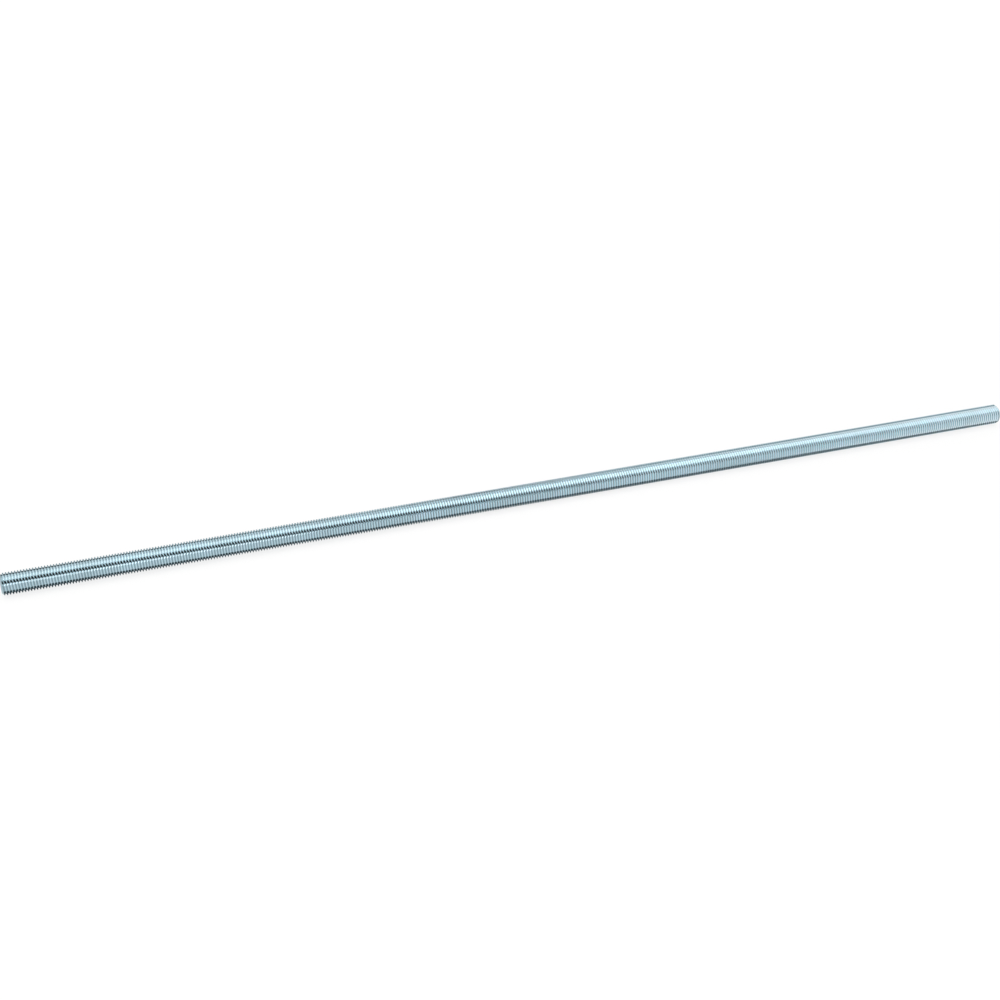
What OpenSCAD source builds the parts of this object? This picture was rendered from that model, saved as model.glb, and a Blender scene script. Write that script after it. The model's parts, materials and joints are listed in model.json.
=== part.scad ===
// Fully threaded metric rod, M20 x 2.5 x 1000 mm, sawn to length and chamfered at both ends.
//
// The rod lies along +X. The origin is the centre of its near end face, on the rod's axis.
//
// The thread has its true section from end to end: crests, roots and flanks at their real sizes.
// Each turn is drawn as one closed ring, a pitch from the next, so that every face is a true
// cylinder, cone or plane. The slow twist that joins the turns into a helix (its lead angle is
// about 2.5 degrees) is a surface detail that these rings leave out.

/* [Rod] */
// Length over both end faces
rod_length = 1000; // [100:10:1200]
// Nominal diameter, measured over the thread's crests
major_d = 20; // [14:1:30]

/* [Thread] */
// Pitch, from one crest to the next
pitch = 2.5; // [1.5:0.25:3.5]
// Angle between the two flanks of a groove, in degrees
thread_angle = 60; // [55:1:65]
// Width of the flat on each crest, in pitches
crest_share = 0.125; // [0.1:0.005:0.15]
// Width of the flat at each root, in pitches
root_share = 0.1667; // [0.1:0.0001:0.2]

/* [Ends] */
// Length of the chamfer at each end, measured along the rod
chamfer_length = 2; // [0.5:0.25:4]
// Angle of the chamfer to the rod's axis, in degrees
chamfer_angle = 45; // [30:5:45]

/* [Hidden] */

$fn = 96;

major_r = major_d / 2;

// One flank's reach along the rod, and the depth that the flanks' angle gives the groove.
flank_length = pitch * (1 - crest_share - root_share) / 2;
thread_depth = flank_length / tan(thread_angle / 2);
root_r = major_r - thread_depth;

// Half a crest lies on each side of a turn's middle, so the outline repeats every pitch.
half_crest = pitch * crest_share / 2;
half_root = pitch * root_share / 2;
turns = ceil(rod_length / pitch);

end_face_r = major_r - chamfer_length * tan(chamfer_angle);

// One turn of the outline as [radius, place along the rod], starting at the middle of a groove.
function turn_outline(start) = [
    [root_r, start + half_root],
    [major_r, start + half_root + flank_length],
    [major_r, start + pitch - half_root - flank_length],
    [root_r, start + pitch - half_root]
];

// Half section of a thread that runs past both ends of the rod.
module thread_section() {
    outline = [for (i = [-1 : turns]) each turn_outline(i * pitch)];
    first = outline[0].y;
    last = outline[len(outline) - 1].y;
    polygon(concat([[0, first]], outline, [[0, last]]));
}

// Half section of the plain bar with its two chamfers.
module bar_section() {
    polygon([
        [0, 0],
        [end_face_r, 0],
        [major_r, chamfer_length],
        [major_r, rod_length - chamfer_length],
        [end_face_r, rod_length],
        [0, rod_length]
    ]);
}

module threaded_rod() {
    color("lightsteelblue")
        rotate([0, 90, 0])
            rotate_extrude()
                intersection() {
                    bar_section();
                    thread_section();
                }
}

threaded_rod();
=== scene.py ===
"""A zinc-plated M20 x 2.5 threaded rod, one metre long, lying on a pale studio floor.

The rod is one piece and one mesh: a right-hand helical thread from end to end, both ends sawn square
and chamfered. It replaces the CAD node, whose turns are closed rings of the same section.
"""

import json
import math

import bpy
from mathutils import Matrix, Vector

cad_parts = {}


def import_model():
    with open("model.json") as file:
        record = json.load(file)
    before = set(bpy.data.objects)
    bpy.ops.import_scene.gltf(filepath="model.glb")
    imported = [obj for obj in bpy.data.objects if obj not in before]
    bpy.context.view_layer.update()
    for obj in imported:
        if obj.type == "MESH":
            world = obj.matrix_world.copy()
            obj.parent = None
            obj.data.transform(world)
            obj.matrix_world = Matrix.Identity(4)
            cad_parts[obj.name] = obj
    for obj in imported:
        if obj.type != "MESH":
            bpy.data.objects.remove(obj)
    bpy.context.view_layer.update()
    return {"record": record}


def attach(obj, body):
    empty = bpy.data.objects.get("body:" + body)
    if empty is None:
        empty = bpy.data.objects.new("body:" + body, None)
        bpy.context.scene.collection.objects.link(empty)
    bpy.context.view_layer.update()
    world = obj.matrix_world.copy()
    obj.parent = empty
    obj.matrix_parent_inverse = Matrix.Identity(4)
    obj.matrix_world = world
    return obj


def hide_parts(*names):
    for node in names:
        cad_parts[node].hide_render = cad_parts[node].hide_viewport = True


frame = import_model()

# ---- Sizes, in metres -------------------------------------------------------------------------

NODE = "threaded_rod"
mounts = {m["name"]: m for m in frame["record"]["mounts"]}

LENGTH = mounts["far_end"]["pos_m"][0] - mounts["near_end"]["pos_m"][0]
CREST_R = mounts["thread"]["dims"]["r_mm"] / 1000
PITCH = 0.0025
TURNS = round(LENGTH / PITCH)
FLANK = math.radians(60)  # a flank's slope, measured from the rod's axis
CREST_FLAT = PITCH / 8
CHAMFER = 0.002  # along the rod, at 45 degrees
FACE_R = CREST_R - CHAMFER  # of the sawn faces

# The flanks would meet in a sharp triangle. Its top eighth is cut off by the crest. At its bottom is
# an arc that both flanks run into, which leaves a sixth of the height unused: 17/24 are the groove.
SHARP_HEIGHT = PITCH / 2 * math.tan(FLANK)
ROOT_ARC = SHARP_HEIGHT / 6
ROOT_R = CREST_R - SHARP_HEIGHT * 17 / 24

# ---- The rod's mesh ---------------------------------------------------------------------------

COLUMNS = 40  # round the rod
ROOT_STEPS = 3  # along the arc at the bottom of a groove
SMOOTH_LIMIT = math.radians(42)  # an edge that turns by more than this is shown sharp
ALONG_THE_ROD = 0.99  # the least x of a sawn face's normal


def turn_outline():
    """One turn of the thread as (place along the rod, radius), from the start of a crest."""
    outline = [(-CREST_FLAT / 2, CREST_R), (CREST_FLAT / 2, CREST_R)]
    for step in range(ROOT_STEPS + 1):
        angle = FLANK * (2 * step / ROOT_STEPS - 1)
        along = PITCH / 2 + ROOT_ARC * math.sin(angle)
        outline.append((along, ROOT_R + ROOT_ARC * (1 - math.cos(angle))))
    return outline


def bar_radius(along):
    """The radius that the chamfers leave at this place along the rod."""
    return FACE_R + min(along, LENGTH - along)


def column(angle):
    """The rod's outline at this angle round its axis, as {label: (along, radius)} in order.

    A label names the same corner of the thread on every column, so that neighbours can be joined.
    """
    outline = {"near": (0.0, FACE_R)}
    before = None
    for turn in range(-1, TURNS + 2):
        for corner, (offset, radius) in enumerate(turn_outline()):
            along = turn * PITCH + PITCH * angle / math.tau + offset
            over = radius - bar_radius(along)
            if before and (over > 0) != (before[2] > 0):
                share = before[2] / (before[2] - over)
                outline["cut", turn, corner] = (
                    before[0] + share * (along - before[0]),
                    before[1] + share * (radius - before[1]),
                )
            if over <= 0:
                outline["corner", turn, corner] = (along, radius)
            before = (along, radius, over)
    outline["far"] = (LENGTH, FACE_R)
    return outline


def a_turn_back(labels):
    """The first column's labels as the last column sees them, one turn further round."""
    back = {}
    for label, vertex in labels.items():
        if isinstance(label, tuple):
            kind, turn, corner = label
            label = (kind, turn - 1, corner)
        back[label] = vertex
    return back


def strip(here, there):
    """The faces between two neighbouring columns of {label: vertex}."""
    shared = [label for label in here if label in there]
    rank_here = {label: i for i, label in enumerate(here)}
    rank_there = {label: i for i, label in enumerate(there)}
    mine, theirs = list(here.values()), list(there.values())
    for a, b in zip(shared, shared[1:]):
        up = theirs[rank_there[a] : rank_there[b] + 1]
        down = mine[rank_here[a] : rank_here[b] + 1]
        yield up + down[::-1]


def shade(mesh):
    """Show curved faces smooth, and give the two sawn faces the second material slot."""
    for polygon in mesh.polygons:
        polygon.use_smooth = True
        polygon.material_index = int(abs(polygon.normal.x) > ALONG_THE_ROD)
    mesh.set_sharp_from_angle(angle=SMOOTH_LIMIT)


def rod_mesh():
    """The whole rod as one closed mesh."""
    vertices, columns = [], []
    for i in range(COLUMNS):
        angle = math.tau * i / COLUMNS
        labels = {}
        for label, (along, radius) in column(angle).items():
            labels[label] = len(vertices)
            vertices.append((along, radius * math.cos(angle), radius * math.sin(angle)))
        columns.append(labels)
    faces = []
    for here, there in zip(columns, columns[1:] + [a_turn_back(columns[0])]):
        faces.extend(strip(here, there))
    ends = [[c["near"] for c in reversed(columns)], [c["far"] for c in columns]]
    mesh = bpy.data.meshes.new(NODE + "_mesh")
    mesh.from_pydata(vertices, [], faces + ends)
    mesh.validate()
    shade(mesh)
    return mesh


# ---- Node trees -------------------------------------------------------------------------------


class Nodes:
    """A short way to write a material's or a world's node tree."""

    def __init__(self, tree):
        self.tree = tree
        tree.nodes.clear()

    def add(self, kind, inputs=None, **settings):
        """A new node. Each input is a value, or a socket to link from."""
        node = self.tree.nodes.new(kind)
        for name, value in settings.items():
            setattr(node, name, value)
        for name, value in (inputs or {}).items():
            self.feed(node.inputs[name], value)
        return node

    def feed(self, socket, value):
        """Set a socket to a value, or link another socket to it."""
        if isinstance(value, bpy.types.NodeSocket):
            self.tree.links.new(value, socket)
        else:
            socket.default_value = value

    def noise(self, vector, scale, detail=3.0, roughness=0.55):
        """Smooth noise, mostly between 0.3 and 0.7."""
        inputs = {"Vector": vector, "Scale": scale, "Detail": detail, "Roughness": roughness}
        return self.add("ShaderNodeTexNoise", inputs).outputs["Fac"]

    def stretched(self, vector, scale):
        """Coordinates that grow by a scale of their own along each axis."""
        inputs = {"Vector": vector, "Scale": scale}
        return self.add("ShaderNodeMapping", inputs).outputs["Vector"]

    def length(self, vector):
        """A vector's length."""
        return self.add("ShaderNodeVectorMath", {0: vector}, operation="LENGTH").outputs["Value"]

    def maths(self, operation, *values):
        """A sum, product or the like of these values."""
        inputs = dict(enumerate(values))
        return self.add("ShaderNodeMath", inputs, operation=operation).outputs["Value"]

    def remap(self, value, low, high, start=0.3, end=0.7):
        """A value from start to end, turned into low to high."""
        inputs = {"Value": value, "From Min": start, "From Max": end, "To Min": low, "To Max": high}
        return self.add("ShaderNodeMapRange", inputs).outputs["Result"]

    def mix(self, factor, first, second):
        """A colour from first, where the factor is 0, to second, where it is 1."""
        node = self.add("ShaderNodeMix", data_type="RGBA")
        self.feed(node.inputs["Factor"], factor)
        for name, value in (("A", first), ("B", second)):
            self.feed([s for s in node.inputs if s.name == name and s.type == "RGBA"][0], value)
        return [s for s in node.outputs if s.type == "RGBA"][0]


def material(name):
    """A new material and the nodes to write it with."""
    made = bpy.data.materials.new(name)
    made.use_nodes = True
    return made, Nodes(made.node_tree)


# ---- The rod's materials ----------------------------------------------------------------------

ZINC = (0.615, 0.785, 0.83, 1)  # bright plate
ZINC_VIOLET = (0.655, 0.77, 0.85, 1)  # the plate's faint second tint
ZINC_DULL = (0.56, 0.675, 0.72, 1)  # its cloudier patches
ZINC_WORN = (0.67, 0.77, 0.81, 1)  # where the crests are scuffed
ZINC_CUT = (0.4, 0.52, 0.56, 1)  # on the chamfers
GROOVE_PAINTED_SHADE = (0.3, 0.375, 0.405, 1)  # painted shade at the bottom of the grooves
SAWN_DARK = (0.36, 0.42, 0.45, 1)  # in the marks of the saw

PLATE_ROUGHNESS = (0.05, 0.12)
SAWN_ROUGHNESS = (0.22, 0.38)
SCUFF_ROUGHNESS = 0.12  # added to the plate's
CHAMFER_ROUGHNESS = 0.2  # added to the plate's

# Scales of the patterns, in features per metre: all ways alike, or along x, y and z.
TINT_SCALE, CLOUD_SCALE, SCUFF_SCALE = 130, 45, 380
LINE_SCALE = (900, 60, 60)
MARK_SCALE = (60, 90, 2200)
STROKE_SCALE = (60, 40, 500)

# Depths and heights of the finish and of the painted shade, in metres.
GROOVE_DEPTH = CREST_R - ROOT_R
PAINTED_SHADE_HEIGHT = 0.00045  # how far the painted shade reaches up from a groove's bottom
SCUFF_DEPTHS = (0.00002, 0.00025)  # under the crests: where scuffs begin to fade and where they end
LINE_HEIGHT = 0.00002  # of the rolling lines
MARK_HEIGHT = 0.00004  # of the marks of the saw


def metal(n, colour, roughness, relief, height):
    """A metal surface. Its relief is a value from 0 to 1, and height is what 1 stands for in metres."""
    bump = n.add("ShaderNodeBump", {"Height": relief, "Strength": 0.6, "Distance": height})
    inputs = {
        "Base Color": colour,
        "Metallic": 1.0,
        "Roughness": roughness,
        "Normal": bump.outputs["Normal"],
    }
    shader = n.add("ShaderNodeBsdfPrincipled", inputs)
    n.add("ShaderNodeOutputMaterial", {"Surface": shader.outputs["BSDF"]})


def to_end(n, place):
    """How far a place is from the nearer end, along the rod."""
    along = n.add("ShaderNodeSeparateXYZ", {"Vector": place}).outputs["X"]
    from_middle = n.maths("ABSOLUTE", n.maths("SUBTRACT", along, LENGTH / 2))
    return n.maths("SUBTRACT", LENGTH / 2, from_middle)


def under_surface(n, place):
    """How far a place lies under the plain bar with its chamfers that the thread is cut into."""
    radius = n.length(n.stretched(place, (0, 1, 1)))
    chamfer = n.maths("ADD", to_end(n, place), FACE_R)
    return n.maths("SUBTRACT", n.maths("MINIMUM", chamfer, CREST_R), radius)


def zinc_thread():
    """Bright zinc plate with fine rolling lines, scuffed crests, painted shade in the grooves and dull
    chamfers.
    """
    made, n = material("zinc_thread")
    place = n.add("ShaderNodeTexCoord").outputs["Object"]
    lines = n.noise(n.stretched(place, LINE_SCALE), 1, detail=4)
    tinted = n.mix(n.remap(n.noise(place, TINT_SCALE), 0, 1), ZINC, ZINC_VIOLET)
    clouded = n.mix(n.remap(n.noise(place, CLOUD_SCALE), 0, 0.8), tinted, ZINC_DULL)
    under = under_surface(n, place)
    # Painted shade: the colour darkens towards the bottom of each groove.
    groove_shade = n.remap(under, 0, 1, GROOVE_DEPTH - PAINTED_SHADE_HEIGHT, GROOVE_DEPTH)
    groove_shaded = n.mix(groove_shade, clouded, GROOVE_PAINTED_SHADE)
    scuffs = n.remap(n.noise(place, SCUFF_SCALE, detail=4), 0, 1, 0.5, 0.62)
    worn = n.maths("MULTIPLY", scuffs, n.remap(under, 1, 0, *SCUFF_DEPTHS))
    rolled = n.mix(worn, groove_shaded, ZINC_WORN)
    smooth = n.maths("MULTIPLY_ADD", worn, SCUFF_ROUGHNESS, n.remap(lines, *PLATE_ROUGHNESS))
    chamfered = n.maths("LESS_THAN", to_end(n, place), CHAMFER)
    colour = n.mix(chamfered, rolled, ZINC_CUT)
    roughness = n.maths("MULTIPLY_ADD", chamfered, CHAMFER_ROUGHNESS, smooth)
    metal(n, colour, roughness, lines, LINE_HEIGHT)
    return made


def zinc_sawn():
    """Thin zinc plate over a sawn end, with the straight marks of the saw."""
    made, n = material("zinc_sawn")
    place = n.add("ShaderNodeTexCoord").outputs["Object"]
    marks = n.noise(n.stretched(place, MARK_SCALE), 1, detail=4)
    strokes = n.noise(n.stretched(place, STROKE_SCALE), 1)
    plate = n.mix(n.remap(strokes, 0, 1), ZINC_WORN, ZINC_DULL)
    colour = n.mix(n.remap(marks, 0.1, 0.9, 0.35, 0.65), plate, SAWN_DARK)
    metal(n, colour, n.remap(strokes, *SAWN_ROUGHNESS), marks, MARK_HEIGHT)
    return made


# ---- Studio -----------------------------------------------------------------------------------

FLOOR_HALF = 4.0
FLOOR_WHITE = 0.22
FLOOR_GLOWS = (0.8, 0.9)  # to the eye: near the rod, and in the distance
GLOW_REACHES = (0.25, 1.5)  # the distances at which the glow begins and ends its rise
ROOM_LIGHT = 0.7  # the room as a light, where it is 1 to the eye

# The cloths of the grey screens are a little blue, for the hue of the rod's dark lines.
CLOTH_TINT = (0.78, 1, 1.08)
CLEAR_OF_FLOOR = 0.0002

LENS_MM = 51.26
SENSOR_MM = 36
CAMERA_YAW = 18.304  # degrees to the right of +Y
CAMERA_DOWN = 31.346  # degrees under the horizon
NEAR_END_SEEN = (-0.4297, -0.0728, 1.2257)  # its place to the right, up and ahead of the camera


def seen_directly(n):
    """1 for a ray from the camera, off a shiny surface or through a clear one, and 0 for the rest."""
    path = n.add("ShaderNodeLightPath").outputs
    total = path["Is Camera Ray"]
    for name in ("Is Glossy Ray", "Is Transmission Ray"):
        total = n.maths("MAXIMUM", total, path[name])
    return total


def card(name, corners, made):
    """A flat sheet of the studio, through these corners."""
    mesh = bpy.data.meshes.new(name + "_mesh")
    mesh.from_pydata(corners, [], [tuple(range(len(corners)))])
    mesh.materials.append(made)
    sheet = bpy.data.objects.new(name, mesh)
    bpy.context.scene.collection.objects.link(sheet)
    return sheet


def floor():
    """A pale floor that the rod lies on. It glows to the eye alone, so it still shows the shadow."""
    made, n = material("pale_floor")
    diffuse = n.add("ShaderNodeBsdfDiffuse", {"Color": (FLOOR_WHITE,) * 3 + (1,)})
    place = n.stretched(n.add("ShaderNodeTexCoord").outputs["Object"], (0.5, 1, 1))
    level = n.remap(n.length(place), *FLOOR_GLOWS, *GLOW_REACHES)
    glow = n.maths("MULTIPLY", seen_directly(n), level)
    shine = n.add("ShaderNodeEmission", {"Strength": glow})
    both = n.add("ShaderNodeAddShader", {0: diffuse.outputs[0], 1: shine.outputs[0]})
    n.add("ShaderNodeOutputMaterial", {"Surface": both.outputs[0]})
    half = FLOOR_HALF
    corners = [(-half, -half, 0), (half, -half, 0), (half, half, 0), (-half, half, 0)]
    sheet = card("floor", corners, made)
    sheet.location = (LENGTH / 2, 0, -CREST_R)


def world():
    """A pale room all round, white to the eye and a little dimmer as a light."""
    made = bpy.data.worlds.new("studio")
    made.use_nodes = True
    n = Nodes(made.node_tree)
    inputs = {"Color": (1, 1, 1, 1), "Strength": n.remap(seen_directly(n), ROOM_LIGHT, 1, 0, 1)}
    background = n.add("ShaderNodeBackground", inputs)
    n.add("ShaderNodeOutputWorld", {"Surface": background.outputs[0]})
    bpy.context.scene.world = made


def above(degrees, distance):
    """(y, z) at this distance from the rod's axis and angle above the horizon, in front of it."""
    angle = math.radians(degrees)
    return -distance * math.cos(angle), distance * math.sin(angle)


def softbox(name, along, degrees, distance, size, colour, brightness, turn=0):
    """A soft lamp that faces the rod. Its brightness is the radiance of its face, 1 for white."""
    lamp = bpy.data.lights.new(name, "AREA")
    lamp.shape = "RECTANGLE"
    lamp.size, lamp.size_y = size
    lamp.color = colour
    lamp.energy = brightness * math.pi * size[0] * size[1]
    made = bpy.data.objects.new(name, lamp)
    made.location = (along, *above(degrees, distance))
    made.rotation_euler = (math.radians(90 - degrees), 0, math.radians(turn))
    bpy.context.scene.collection.objects.link(made)


def hung(distance, corners):
    """The corners of a flat sheet hung at this distance, from (place along the rod, degrees up)."""
    middle = sum(degrees for _, degrees in corners) / len(corners)
    spots = []
    for along, degrees in corners:
        reach = distance / math.cos(math.radians(degrees - middle))
        spots.append((along, *above(degrees, reach)))
    return spots


def laid(corners):
    """The corners of a flat sheet laid just over the floor, from (place along the rod, y)."""
    return [(along, y, CLEAR_OF_FLOOR - CREST_R) for along, y in corners]


def flag(name, corners, grey):
    """A grey screen of the studio that only the metal shows, for the rod's darker lines."""
    made, n = material(name + "_cloth")
    colour = tuple(tint * grey for tint in CLOTH_TINT) + (1,)
    shader = n.add("ShaderNodeBsdfDiffuse", {"Color": colour})
    n.add("ShaderNodeOutputMaterial", {"Surface": shader.outputs[0]})
    screen = card(name, corners, made)
    screen.visible_camera = screen.visible_diffuse = screen.visible_shadow = False


def lamps():
    """A wide soft light overhead and a bright strip low in front, near the rod's near end."""
    wide, strip_of_light = (2.6, 1.3), (1.1, 0.34)
    warm, slightly_warm = (1.0, 0.95, 0.92), (1.0, 0.97, 0.95)
    softbox("overhead", 0.4, 88, 1.5, wide, warm, brightness=0.87, turn=-12)
    softbox("front_strip", -0.12, 19, 1.2, strip_of_light, slightly_warm, brightness=2.0)


def screens():
    """The grey screens: a black one in front, two behind and two on the floor, one of which is a
    painted shadow under the rod.
    """
    low = [(-0.9, 38), (0.35, 30), (0.58, 16), (0.97, 12)]
    high = [(0.97, 30), (0.35, 69), (-0.9, 71)]
    flag("front_flag", hung(1.05, low + high), 0.01)
    flag("back_flag", hung(0.2, [(-0.1, 182), (0.36, 182), (0.34, 163), (-0.1, 148)]), 0.17)
    flag("back_screen", hung(0.2, [(0.36, 182), (1.3, 150), (1.3, 135), (0.38, 162)]), 0.81)
    # Painted shadow: a dark sheet just over the floor under the rod, seen only in the metal, stands in
    # for the contact shadow there.
    front_edge = [(0, -0.0115), (0.5, -0.0104), (0.996, -0.0088)]
    back_edge = [(0.996, -0.006), (0.55, -0.0038), (0, -0.003)]
    flag("under_flag", laid(front_edge + back_edge), 0.2)
    flag("floor_flag", laid([(-0.1, 0.022), (1.3, 0.06), (1.3, 0.12), (-0.1, 0.19)]), 0.55)


def camera():
    """The camera looks down on the rod from its near left, and the rod runs away to the right."""
    data = bpy.data.cameras.new("camera")
    data.lens = LENS_MM
    data.sensor_width = SENSOR_MM
    made = bpy.data.objects.new("camera", data)
    yaw, down = math.radians(CAMERA_YAW), math.radians(CAMERA_DOWN)
    forward = Vector(
        (math.cos(down) * math.sin(yaw), math.cos(down) * math.cos(yaw), -math.sin(down))
    )
    right = Vector((math.cos(yaw), -math.sin(yaw), 0))
    up = right.cross(forward)
    turn = Matrix((right, up, -forward)).transposed().to_4x4()
    sideways, upwards, ahead = NEAR_END_SEEN
    near_end = sideways * right + upwards * up + ahead * forward
    made.matrix_world = Matrix.Translation(-near_end) @ turn
    bpy.context.scene.collection.objects.link(made)
    bpy.context.scene.camera = made


# ---- The scene --------------------------------------------------------------------------------

rod = bpy.data.objects.new("threaded_rod_helix", rod_mesh())
rod.data.materials.append(zinc_thread())
rod.data.materials.append(zinc_sawn())
bpy.context.scene.collection.objects.link(rod)
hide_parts(NODE)
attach(rod, "root")

floor()
world()
lamps()
screens()
camera()

bpy.context.scene.view_settings.view_transform = "Standard"
